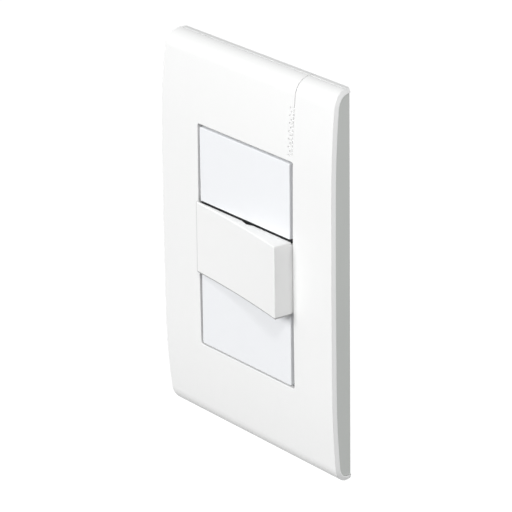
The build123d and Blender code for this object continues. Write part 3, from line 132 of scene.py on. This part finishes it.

# Knob: the box round its notch, painted dark inside as painted shade, and painted shade along its lower
# and left edges.
HOLLOW_LEFT = -4.05 * MM
HOLLOW_RIGHT = 6.0 * MM
HOLLOW_FRONT = -10.0 * MM
HOLLOW_REAR = -8.3 * MM
HOLLOW_INSET = 1.4 * MM
HOLLOW_MARGIN = 0.03 * MM
KNOB_HEM = 0.66 * MM
KNOB_SIDE_HEM = 0.3 * MM
KNOB_HEM_FADE = 0.02 * MM
KNOB_SIDE_HEM_STRENGTH = 0.55
# Painted shade tone for the knob's lower and left hems.
KNOB_HEM_SHADE_TONE = 0.5
# Painted light: the knob's white is a touch lighter than the cover's, to make up for its tilted front.
KNOB_PAINTED_LIGHT_TONE = 1.01
KNOB_EDGE = 0.12
KNOB_CLOUD = 0.006
KNOB_RUB_STRENGTH = 0.3
# Lighter rubbed knob edges: partly wear, partly painted highlight.
KNOB_RUB_SHEEN_TONE = 1.1

# Circuit board: weave, track areas, edge softening and depth in millimetres.
BOARD_WEAVE = 0.5
BOARD_STRETCH = (1.0, 1.0, 3.0)
BOARD_WEAVE_LEVELS = (0.4, 0.8)
BOARD_WEAVE_STRENGTH = 0.35
BOARD_TRACK = 5.5
BOARD_GAP_LEVELS = (0.05, 0.09)
BOARD_EDGE = 0.1
BOARD_DEPTH = 0.03
BOARD_ROUGHNESS = (0.28, 0.4)
BOARD_DARK = (0.025, 0.10, 0.045)
BOARD_GREEN = (0.045, 0.19, 0.075)
BOARD_FIBRE = (0.06, 0.17, 0.06)

# Choke: enamelled wire and coated core, sizes in millimetres.
WIRE_BLOTCH = 1.1
WIRE_RIPPLE = 0.25
WIRE_DEPTH = 0.006
WIRE_ROUGHNESS = (0.2, 0.34)
WIRE_METALLIC = 0.85
WIRE_COAT = 0.6
WIRE_DARK = (0.50, 0.17, 0.06)
WIRE_PALE = (0.66, 0.27, 0.10)
CORE_PEEL = 0.8
CORE_SPECK = 0.25
CORE_EDGE = 0.15
CORE_DEPTH = 0.03
CORE_ROUGHNESS = (0.38, 0.5)
CORE_DARK = (0.055, 0.055, 0.05)
CORE_PALE = (0.11, 0.105, 0.09)

# Stations of the finishes that change along a part. Those in brackets are millimetres from its middle.
FUSE_CAP = 5.0 * MM
RESISTOR_STATIONS = (-3.15, -2.2, -1.6, -0.7, -0.1, 0.8, 1.4, 2.2, 2.8, 3.15)
DIAC_STATIONS = (-1.9, 1.0, 1.5, 1.9)
TRIAC_TAB = 6.4 * MM
TRIAC_CASE = 9.0 * MM
TRACK_FACE = 0.001 * MM
TRACK_BACK = 0.059 * MM

# Colours.
WHITE = (0.91, 0.91, 0.905)
PANEL_WHITE = (0.882, 0.892, 0.912)
GREY = (0.555, 0.571, 0.552)
FRAME_TONE = 0.92
HOUSING = (0.085, 0.088, 0.092)
# Painted shade for the inside of the panel's grooves.
GROOVE_PAINTED_SHADE = (0.035, 0.035, 0.037)
# Painted shade for the hollow behind the knob's notch.
PIT_PAINTED_SHADE = (0.012, 0.012, 0.012)
ACETAL_CARRIAGE = (0.70, 0.69, 0.65)
ACETAL_SLIDER = (0.66, 0.65, 0.60)
BLOCK_GREY = (0.60, 0.61, 0.585)
DIAL_GREY = (0.72, 0.72, 0.70)
TRIMMER_BLUE = (0.045, 0.13, 0.40)
CAPACITOR_YELLOW = (0.72, 0.47, 0.06)
CAPACITOR_RED = (0.42, 0.06, 0.035)
ZINC = (0.63, 0.64, 0.66)
SPRING = (0.42, 0.42, 0.44)
BRUSH = (0.72, 0.66, 0.50)
ALUMINIUM = (0.72, 0.73, 0.74)
CLAMP_BRASS = (0.74, 0.54, 0.22)
CLIP_BRASS = (0.72, 0.55, 0.25)
FUSE_GLASS = (0.70, 0.77, 0.75)
TAN = (0.60, 0.44, 0.24)
BAND_TINTS = ((0.30, 0.12, 0.04), (0.05, 0.05, 0.05), (0.65, 0.28, 0.03), (0.62, 0.50, 0.18))
DIAC_GLASS = (0.50, 0.13, 0.05)
DIAC_RING = (0.03, 0.03, 0.03)
TRIAC_BLACK = (0.022, 0.022, 0.024)
TRACK_CARBON = (0.02, 0.02, 0.021)
TRACK_LAMINATE = (0.15, 0.08, 0.045)

# Line directions on metals: above 1 packs the lines along that axis, and below 1 draws them out.
ACROSS_X = (6.0, 1.0, 1.0)
ACROSS_Y = (1.0, 6.0, 1.0)
ACROSS_Z = (1.0, 1.0, 6.0)


class Graph:
    """Small helper around one material's node tree."""

    def __init__(self, name):
        self.material = bpy.data.materials.new(name)
        self.material.use_nodes = True
        self.tree = self.material.node_tree
        self.shader = self.tree.nodes["Principled BSDF"]
        self.place = self.add("ShaderNodeTexCoord").outputs["Object"]

    def add(self, kind, **settings):
        node = self.tree.nodes.new(kind)
        for key, value in settings.items():
            setattr(node, key, value)
        return node

    def link(self, source, target):
        self.tree.links.new(source, target)

    def feed(self, socket, value):
        """Links value to the socket if it is an output, or sets it."""
        if isinstance(value, bpy.types.NodeSocket):
            self.link(value, socket)
        else:
            socket.default_value = value

    def maths(self, operation, a, b=0.0):
        node = self.add("ShaderNodeMath", operation=operation)
        self.feed(node.inputs[0], a)
        self.feed(node.inputs[1], b)
        return node.outputs[0]

    def remap(self, value, low, high, to_low=0.0, to_high=1.0):
        """The value read between low and high, and held at the ends."""
        node = self.add("ShaderNodeMapRange")
        self.feed(node.inputs["Value"], value)
        node.inputs["From Min"].default_value = low
        node.inputs["From Max"].default_value = high
        self.feed(node.inputs["To Min"], to_low)
        self.feed(node.inputs["To Max"], to_high)
        return node.outputs["Result"]

    def stretched(self, scale):
        """The position scaled per axis, for grain that runs one way."""
        node = self.add("ShaderNodeMapping")
        self.link(self.place, node.inputs["Vector"])
        node.inputs["Scale"].default_value = scale
        return node.outputs["Vector"]

    def noise(self, size_mm, detail=2.0, roughness=0.5, vector=None):
        """Noise whose features are about size_mm across."""
        node = self.add("ShaderNodeTexNoise")
        self.link(vector or self.place, node.inputs["Vector"])
        node.inputs["Scale"].default_value = 1.0 / (size_mm * MM)
        node.inputs["Detail"].default_value = detail
        node.inputs["Roughness"].default_value = roughness
        return node.outputs["Fac"]

    def cloud(self):
        """Broad, faint unevenness of a moulding."""
        return self.noise(CLOUD_SIZE, FINE_DETAIL)

    def flow(self):
        """Long, faint streaks that a moulding's melt leaves along Z."""
        return self.noise(FLOW_SIZE, vector=self.stretched(FLOW_STRETCH))

    def rub_and_sheen(self, edge, strength):
        """Patchy mask on the edges, for wear that is partly a painted highlight."""
        worn_and_sheen = self.maths("MULTIPLY", edge, self.remap(self.noise(RUB_SIZE, FINE_DETAIL), *RUB_LEVELS))
        return self.maths("MULTIPLY", worn_and_sheen, strength)

    def swing(self, value, middle, spread=ROUGHNESS_SWING):
        """A roughness that varies about its middle value."""
        return self.remap(value, *MIDDLE_LEVELS, middle - spread, middle + spread)

    def grained(self, normal, size_mm=GRAIN_SIZE, depth_mm=GRAIN_DEPTH):
        """The fine spark texture of a mould."""
        return self.bump(self.noise(size_mm, FINE_DETAIL, NOISE_ROUGHNESS), depth_mm, normal)

    def mix(self, factor, a, b):
        """Colour a, going over to b as the factor rises to 1."""
        node = self.add("ShaderNodeMix", data_type="RGBA")
        self.feed(node.inputs["Factor"], factor)
        self.feed(node.inputs["A"], rgba(a))
        self.feed(node.inputs["B"], rgba(b))
        return node.outputs["Result"]

    def along(self, axis):
        """The position along one axis, in metres."""
        node = self.add("ShaderNodeSeparateXYZ")
        self.link(self.place, node.inputs[0])
        return node.outputs[axis]

    def edges(self, radius_mm):
        """1 on sharp outer edges and 0 on flat areas, with the rounded normal."""
        bevel = self.add("ShaderNodeBevel", samples=BEVEL_SAMPLES)
        bevel.inputs["Radius"].default_value = radius_mm * MM
        plain = self.add("ShaderNodeNewGeometry").outputs["Normal"]
        dot = self.add("ShaderNodeVectorMath", operation="DOT_PRODUCT")
        self.link(bevel.outputs["Normal"], dot.inputs[0])
        self.link(plain, dot.inputs[1])
        return self.remap(dot.outputs["Value"], *EDGE_LEVELS), bevel.outputs["Normal"]

    def bump(self, height, depth_mm, normal=None):
        """A surface normal tilted by the height."""
        node = self.add("ShaderNodeBump")
        node.inputs["Distance"].default_value = depth_mm * MM
        self.link(height, node.inputs["Height"])
        if normal is not None:
            self.link(normal, node.inputs["Normal"])
        return node.outputs["Normal"]

    def finish(self, colour, roughness, normal=None, **extra):
        """Connects the shader and gives the material. Names in extra have _ for a space."""
        self.feed(self.shader.inputs["Base Color"], colour)
        self.feed(self.shader.inputs["Roughness"], roughness)
        if normal is not None:
            self.link(normal, self.shader.inputs["Normal"])
        for key, value in extra.items():
            self.feed(self.shader.inputs[key.replace("_", " ")], value)
        return self.material


def rgba(value):
    """The colour with its alpha, or the output as it is."""
    if isinstance(value, bpy.types.NodeSocket):
        return value
    return (*value, 1.0)


def tone(colour, factor):
    """The colour made lighter or darker."""
    return tuple(min(1.0, channel * factor) for channel in colour)


def moulded(name, colour, roughness, grain_mm=GRAIN_SIZE, grain_depth=GRAIN_DEPTH, wear_and_sheen=MOULDED_WEAR_AND_SHEEN,
            cloud=MOULDED_CLOUD):
    """Injection-moulded plastic: fine spark texture, faint flow clouds and softened, rubbed edges,
    lightened as partly wear and partly painted highlight.
    """
    g = Graph(name)
    flow = g.flow()
    edge, rounded = g.edges(MOULDED_EDGE)
    rub_and_sheen = g.rub_and_sheen(edge, wear_and_sheen)
    base = g.mix(g.cloud(), tone(colour, 1.0 - cloud), tone(colour, 1.0 + cloud))
    streaks = g.remap(flow, *FLOW_LEVELS, 0.0, FLOW_STRENGTH)
    base = g.mix(streaks, base, tone(colour, 1.0 - FLOW_DARKER * cloud))
    # The rubbed edges are lightened, partly wear and partly painted highlight.
    worn_and_sheen = g.mix(rub_and_sheen, base, tone(colour, RUBBED_SHEEN_TONE))
    rough = g.maths("SUBTRACT", g.swing(flow, roughness), g.maths("MULTIPLY", rub_and_sheen, RUB_GLOSS))
    return g.finish(worn_and_sheen, rough, g.grained(rounded, grain_mm, grain_depth))


def metal(name, colour, roughness, stretch):
    """Metal with fine lines along its working direction, stains and brighter rubbed edges."""
    g = Graph(name)
    lines = g.noise(METAL_LINE, METAL_DETAIL, METAL_LINE_ROUGHNESS, vector=g.stretched(stretch))
    blotch = g.noise(METAL_BLOTCH, METAL_DETAIL, NOISE_ROUGHNESS)
    edge, rounded = g.edges(METAL_EDGE)
    base = g.mix(g.remap(blotch, *METAL_BLOTCH_LEVELS), colour, tone(colour, 1.0 - METAL_STAIN))
    base = g.mix(g.maths("MULTIPLY", edge, METAL_EDGE_STRENGTH), base, tone(colour, METAL_EDGE_TONE))
    rough = g.swing(lines, roughness, METAL_SWING)
    return g.finish(base, rough, g.bump(lines, METAL_DEPTH, rounded), Metallic=1.0)


def banded(name, axis, stations, zones):
    """One surface whose finish changes at stations along an axis, such as a fuse's caps.

    Each zone is a colour, a roughness and a metallic value.
    """
    g = Graph(name)
    place = g.along(axis)
    grain = g.noise(BAND_GRAIN, FINE_DETAIL)
    tint, rough, metallic = zones[0]
    colour = g.mix(g.noise(BAND_CLOUD, FINE_DETAIL), tone(tint, BAND_DARK), tone(tint, BAND_PALE))
    for station, (tint, next_rough, next_metallic) in zip(stations, zones[1:]):
        step = g.maths("GREATER_THAN", place, station)
        colour = g.mix(step, colour, g.mix(grain, tone(tint, BAND_DARK), tone(tint, BAND_PALE)))
        rough = g.remap(step, 0.0, 1.0, rough, next_rough)
        metallic = g.remap(step, 0.0, 1.0, metallic, next_metallic)
    rounded = g.edges(BAND_EDGE)[1]
    return g.finish(colour, rough, g.bump(grain, BAND_DEPTH, rounded), Metallic=metallic)


def grooved(name, colour, groove_shade, roughness, front):
    """Moulded panel, facing -Y at front, whose two level grooves get painted shade inside, and whose edges
    get a faint painted highlight.
    """
    g = Graph(name)
    edge, rounded = g.edges(PANEL_EDGE)
    level = g.maths("ABSOLUTE", g.along("Z"))
    away = g.maths("ABSOLUTE", g.maths("SUBTRACT", level, PANEL_GROOVE_Z))
    inside = g.remap(away, *(PANEL_GROOVE_HALF * part for part in PANEL_GROOVE_FADE))
    lip = front + PANEL_GROOVE_SHADE * PANEL_GROOVE_LIP
    sunk = g.remap(g.along("Y"), lip, front + PANEL_GROOVE_SHADE)
    # Painted shade: the mask darkens the grooves' insides to stand in for the shadow in them.
    shade = g.maths("MULTIPLY", inside, sunk)
    base = g.mix(g.cloud(), tone(colour, 1.0 - PANEL_CLOUD), tone(colour, 1.0 + PANEL_CLOUD))
    # Painted highlight along the panel's edges.
    base = g.mix(g.maths("MULTIPLY", edge, PANEL_EDGE_HIGHLIGHT_STRENGTH), base, tone(colour, PANEL_EDGE_HIGHLIGHT_TONE))
    rough = g.swing(g.noise(PANEL_FLOW), roughness)
    return g.finish(g.mix(shade, base, groove_shade), rough, g.grained(rounded))


def notched(name, colour, pit_shade, roughness, low, high, hem_z, hem_x, hem_shade):
    """Moulded knob with painted shade: dark inside the box from low to high, and toned down along its
    lower and left hems.
    """
    g = Graph(name)
    edge, rounded = g.edges(KNOB_EDGE)
    base = g.mix(g.cloud(), tone(colour, 1.0 - KNOB_CLOUD), tone(colour, 1.0 + KNOB_CLOUD))
    base = g.mix(g.rub_and_sheen(edge, KNOB_RUB_STRENGTH), base, tone(colour, KNOB_RUB_SHEEN_TONE))
    ahead = g.maths("LESS_THAN", g.along("Y"), high[1])
    lower = g.remap(g.along("Z"), hem_z, hem_z - KNOB_HEM_FADE)
    left = g.remap(g.along("X"), hem_x, hem_x - KNOB_HEM_FADE)
    left = g.maths("MULTIPLY", left, KNOB_SIDE_HEM_STRENGTH)
    # Painted shade: the lower and left strips are toned down like the knob's shaded edges.
    for strip in (lower, left):
        base = g.mix(g.maths("MULTIPLY", strip, ahead), base, hem_shade)
    # Painted shade: the box behind the notch is painted dark to stand in for the shadow inside the hollow.
    inside = 1.0
    for axis, start, end in zip("XYZ", low, high):
        place = g.along(axis)
        slab = g.maths("MULTIPLY", g.maths("GREATER_THAN", place, start), g.maths("LESS_THAN", place, end))
        inside = g.maths("MULTIPLY", slab, inside)
    return g.finish(g.mix(inside, base, pit_shade), g.swing(g.flow(), roughness), g.grained(rounded))


def dress(node, material):
    """Gives the CAD node this material in place of the plain one."""
    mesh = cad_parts[node].data
    mesh.materials.clear()
    mesh.materials.append(material)


def board_material():
    """Green solder mask with darker lines between the track areas and a faint glass weave."""
    g = Graph("board_laminate")
    weave = g.noise(BOARD_WEAVE, vector=g.stretched(BOARD_STRETCH))
    tracks = g.add("ShaderNodeTexVoronoi", feature="DISTANCE_TO_EDGE")
    g.link(g.place, tracks.inputs["Vector"])
    tracks.inputs["Scale"].default_value = 1.0 / (BOARD_TRACK * MM)
    gap = g.remap(tracks.outputs["Distance"], *BOARD_GAP_LEVELS)
    base = g.mix(gap, BOARD_DARK, BOARD_GREEN)
    base = g.mix(g.remap(weave, *BOARD_WEAVE_LEVELS, 0.0, BOARD_WEAVE_STRENGTH), base, BOARD_FIBRE)
    rounded = g.edges(BOARD_EDGE)[1]
    rough = g.remap(weave, *MIDDLE_LEVELS, *BOARD_ROUGHNESS)
    return g.finish(base, rough, g.bump(gap, BOARD_DEPTH, rounded))


def winding_material():
    """Enamelled copper with a clear glossy coat."""
    g = Graph("copper_wire")
    blotch = g.noise(WIRE_BLOTCH, FINE_DETAIL)
    base = g.mix(blotch, WIRE_DARK, WIRE_PALE)
    rough = g.remap(blotch, *MIDDLE_LEVELS, *WIRE_ROUGHNESS)
    normal = g.bump(g.noise(WIRE_RIPPLE), WIRE_DEPTH)
    return g.finish(base, rough, normal, Metallic=WIRE_METALLIC, Coat_Weight=WIRE_COAT)


def ferrite_material():
    """Powdered-iron ring with a thin, slightly orange-peeled epoxy coat."""
    g = Graph("ferrite")
    peel = g.noise(CORE_PEEL)
    base = g.mix(g.noise(CORE_SPECK, FINE_DETAIL), CORE_DARK, CORE_PALE)
    rounded = g.edges(CORE_EDGE)[1]
    rough = g.remap(peel, *MIDDLE_LEVELS, *CORE_ROUGHNESS)
    return g.finish(base, rough, g.bump(peel, CORE_DEPTH, rounded))


dress("cover_plate", moulded("white_plastic", WHITE, roughness=0.36, cloud=0.006))
low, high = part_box("slide_knob")
# The knob carries painted shade in its notch box and along its lower and left hems.
dress("slide_knob", notched(
    "knob_plastic_painted_shade", tone(WHITE, KNOB_PAINTED_LIGHT_TONE), PIT_PAINTED_SHADE, roughness=0.33,
    low=(HOLLOW_LEFT, HOLLOW_FRONT, low.z + HOLLOW_INSET),
    high=(HOLLOW_RIGHT, HOLLOW_REAR, high.z - HOLLOW_MARGIN),
    hem_z=low.z + KNOB_HEM, hem_x=low.x + KNOB_SIDE_HEM, hem_shade=tone(WHITE, KNOB_HEM_SHADE_TONE),
))
low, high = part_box("face_panel")
# The panel's grooves carry painted shade.
dress("face_panel", grooved("panel_plastic", PANEL_WHITE, GROOVE_PAINTED_SHADE, roughness=0.38, front=low.y))
for node, name, colour in (
    ("side_frame", "grey_plastic", GREY),
    ("support_frame", "grey_frame", tone(GREY, FRAME_TONE)),
):
    dress(node, moulded(name, colour, roughness=0.5, grain_mm=0.5, grain_depth=0.02))
for node, name in (("front_housing", "housing_front"), ("rear_housing", "housing_rear")):
    dress(node, moulded(name, HOUSING, roughness=0.52, grain_mm=0.45, grain_depth=0.025, wear_and_sheen=0.6))
dress("carriage", moulded("acetal_carriage", ACETAL_CARRIAGE, roughness=0.32))
dress("pot_slider", moulded("acetal_slider", ACETAL_SLIDER, roughness=0.32))
dress("terminal_block", moulded("block_plastic", BLOCK_GREY, roughness=0.42, wear_and_sheen=0.4))
dress("trimmer_dial", moulded("dial_plastic", DIAL_GREY, roughness=0.35))
dress("trimmer_body", moulded("trimmer_blue", TRIMMER_BLUE, roughness=0.3))
dress("filter_capacitor", moulded(
    "capacitor_yellow", CAPACITOR_YELLOW, roughness=0.27, grain_mm=0.6, grain_depth=0.01,
))
dress("timing_capacitor", moulded(
    "capacitor_red", CAPACITOR_RED, roughness=0.22, grain_mm=0.9, grain_depth=0.03,
))
dress("circuit_board", board_material())
dress("choke_core", ferrite_material())
dress("choke_winding", winding_material())
for node, lines in (
    ("box_screws", ACROSS_Y),
    ("housing_screws", ACROSS_Y),
    ("terminal_screws", ACROSS_Z),
    ("triac_screw", ACROSS_X),
):
    dress(node, metal("zinc_" + node, ZINC, roughness=0.28, stretch=lines))
dress("pot_body", metal("zinc_can", ZINC, roughness=0.36, stretch=(1.0, 1.0, 0.08)))
dress("pot_lever", metal("zinc_lever", ZINC, roughness=0.34, stretch=(1.0, 0.1, 1.0)))
dress("friction_springs", metal("spring_strip", SPRING, roughness=0.3, stretch=(0.1, 1.0, 1.0)))
dress("wiper_brushes", metal("brush_strip", BRUSH, roughness=0.26, stretch=(1.0, 1.0, 0.1)))
dress("heat_sink", metal("mill_aluminium", ALUMINIUM, roughness=0.34, stretch=(1.0, 1.0, 0.06)))
dress("terminal_clamps", metal("brass_clamp", CLAMP_BRASS, roughness=0.27, stretch=(1.0, 0.2, 1.0)))
dress("fuse_clips", metal("brass_clip", CLIP_BRASS, roughness=0.3, stretch=(1.0, 1.0, 0.2)))

# Each zone of a banded part is its colour, roughness and metallic value.
low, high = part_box("fuse")
cap = (ZINC, 0.25, 1.0)
glass = (FUSE_GLASS, 0.06, 0.0)
dress("fuse", banded("fuse_glass", "Z", (low.z + FUSE_CAP, high.z - FUSE_CAP), (cap, glass, cap)))

low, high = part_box("resistors")
centre = (low.z + high.z) / 2
lead = (ZINC, 0.3, 1.0)
lacquer = (TAN, 0.34, 0.0)
zones = [lead, lacquer]
for tint in BAND_TINTS:
    zones.extend([(tint, 0.34, 0.0), lacquer])
zones.append(lead)
stations = [centre + offset * MM for offset in RESISTOR_STATIONS]
dress("resistors", banded("resistor_lacquer", "Z", stations, zones))

low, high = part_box("diac")
centre = (low.z + high.z) / 2
glass = (DIAC_GLASS, 0.12, 0.0)
ring = (DIAC_RING, 0.4, 0.0)
stations = [centre + offset * MM for offset in DIAC_STATIONS]
dress("diac", banded("diac_glass", "Z", stations, (lead, glass, ring, glass, lead)))

low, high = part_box("triac")
tab = (ZINC, 0.32, 1.0)
case = (TRIAC_BLACK, 0.5, 0.0)
stations = (high.z - (TRIAC_CASE + TRIAC_TAB), high.z - TRIAC_TAB)
dress("triac", banded("triac_case", "Z", stations, (tab, case, tab)))

low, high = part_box("pot_track")
carbon = (TRACK_CARBON, 0.45, 0.0)
laminate = (TRACK_LAMINATE, 0.5, 0.0)
stations = (low.y + TRACK_FACE, low.y + TRACK_BACK)
dress("pot_track", banded("track_strip", "Y", stations, (carbon, carbon, laminate)))


def lamp(name, place, power, size):
    """Square area lamp that faces the origin."""
    light = bpy.data.lights.new(name, "AREA")
    light.energy = power
    light.size = size
    obj = bpy.data.objects.new(name, light)
    bpy.context.scene.collection.objects.link(obj)
    obj.location = place
    obj.rotation_euler = (-Vector(place)).to_track_quat("-Z", "Y").to_euler()


lamp("key_light", KEY_PLACE, KEY_POWER, KEY_SIZE)
lamp("fill_light", FILL_PLACE, FILL_POWER, FILL_SIZE)
lamp("rim_light", RIM_PLACE, RIM_POWER, RIM_SIZE)

# The camera sees a white surround, while the object is lit by a dimmer one.
world = bpy.data.worlds.new("studio")
bpy.context.scene.world = world
world.use_nodes = True
sky = world.node_tree
background = sky.nodes["Background"]
path = sky.nodes.new("ShaderNodeLightPath")
seen = sky.nodes.new("ShaderNodeMix")
seen.data_type = "RGBA"
sky.links.new(path.outputs["Is Camera Ray"], seen.inputs["Factor"])
seen.inputs["A"].default_value = rgba(tone(AMBIENT_TINT, AMBIENT))
seen.inputs["B"].default_value = rgba(PURE_WHITE)
sky.links.new(seen.outputs["Result"], background.inputs["Color"])

bpy.ops.mesh.primitive_plane_add(size=FLOOR_SIZE, location=(0.0, 0.0, size_before[0][2] - FLOOR_DROP))
floor = bpy.context.object
floor.name = "floor"
paper = Graph("floor_paper")
tooth = paper.noise(FLOOR_TOOTH, FLOOR_TOOTH_DETAIL)
lift = paper.maths("MULTIPLY", paper.add("ShaderNodeLightPath").outputs["Is Camera Ray"], FLOOR_LIFT)
floor.data.materials.append(paper.finish(
    paper.mix(tooth, FLOOR_DARK, FLOOR_PALE), FLOOR_ROUGHNESS,
    Emission_Color=rgba(PURE_WHITE), Emission_Strength=lift,
))

# The camera looks along -back, with up and right turned by the roll.
azimuth = math.radians(CAM_AZIMUTH)
elevation = math.radians(CAM_ELEVATION)
roll = math.radians(CAM_ROLL)
back = Vector((
    math.sin(azimuth) * math.cos(elevation),
    -math.cos(azimuth) * math.cos(elevation),
    math.sin(elevation),
))
level = Vector((math.cos(azimuth), math.sin(azimuth), 0.0))
upright = back.cross(level)
right = level * math.cos(roll) + upright * math.sin(roll)
up = upright * math.cos(roll) - level * math.sin(roll)
camera_data = bpy.data.cameras.new("camera")
camera_data.sensor_width = CAM_SENSOR
camera_data.lens = CAM_LENS
camera = bpy.data.objects.new("camera", camera_data)
bpy.context.scene.collection.objects.link(camera)
spot = (right * -CAM_SIDE + up * -CAM_RISE + back * CAM_DISTANCE) * MM
turn = Matrix((right, up, back)).transposed().to_4x4()
camera.matrix_world = Matrix.Translation(spot) @ turn
bpy.context.scene.camera = camera

bpy.context.scene.view_settings.view_transform = "Standard"
